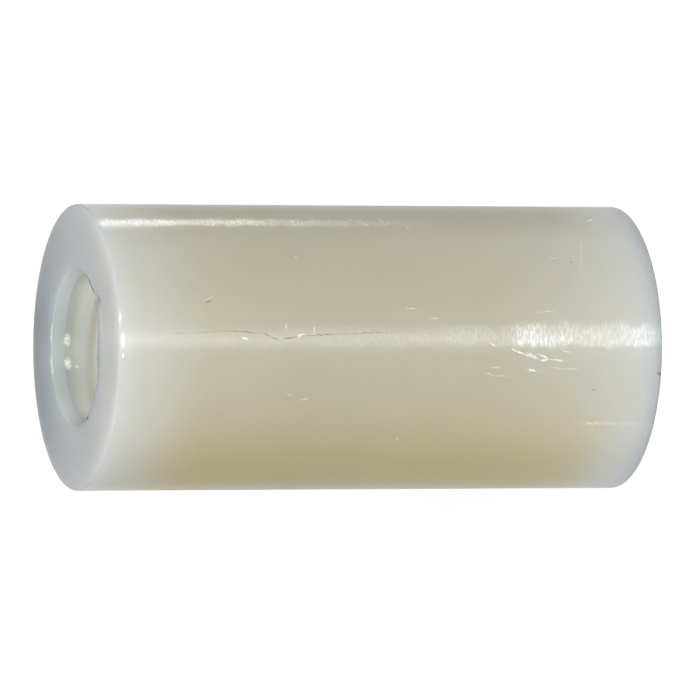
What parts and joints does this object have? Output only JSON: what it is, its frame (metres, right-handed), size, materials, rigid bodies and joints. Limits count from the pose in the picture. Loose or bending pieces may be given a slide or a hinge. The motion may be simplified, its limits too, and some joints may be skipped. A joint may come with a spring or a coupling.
{
  "type": "round standoff",
  "caption": "Round spacer turned from natural nylon rod, with a tapped hole right through for screws from both ends.",
  "frame": {"origin": "centre of the lower end face, on the axis of the hole", "axes": "+Z along the axis of the hole, from the lower end face to the upper one; X and Y are free about it"},
  "size_m": [0.0064, 0.0064, 0.0127],
  "materials": {
    "nylon": "as turned, satin, slightly translucent natural off-white"
  },
  "bodies": {
    "root": {"standoff": "nylon"}
  },
  "joints": []
}
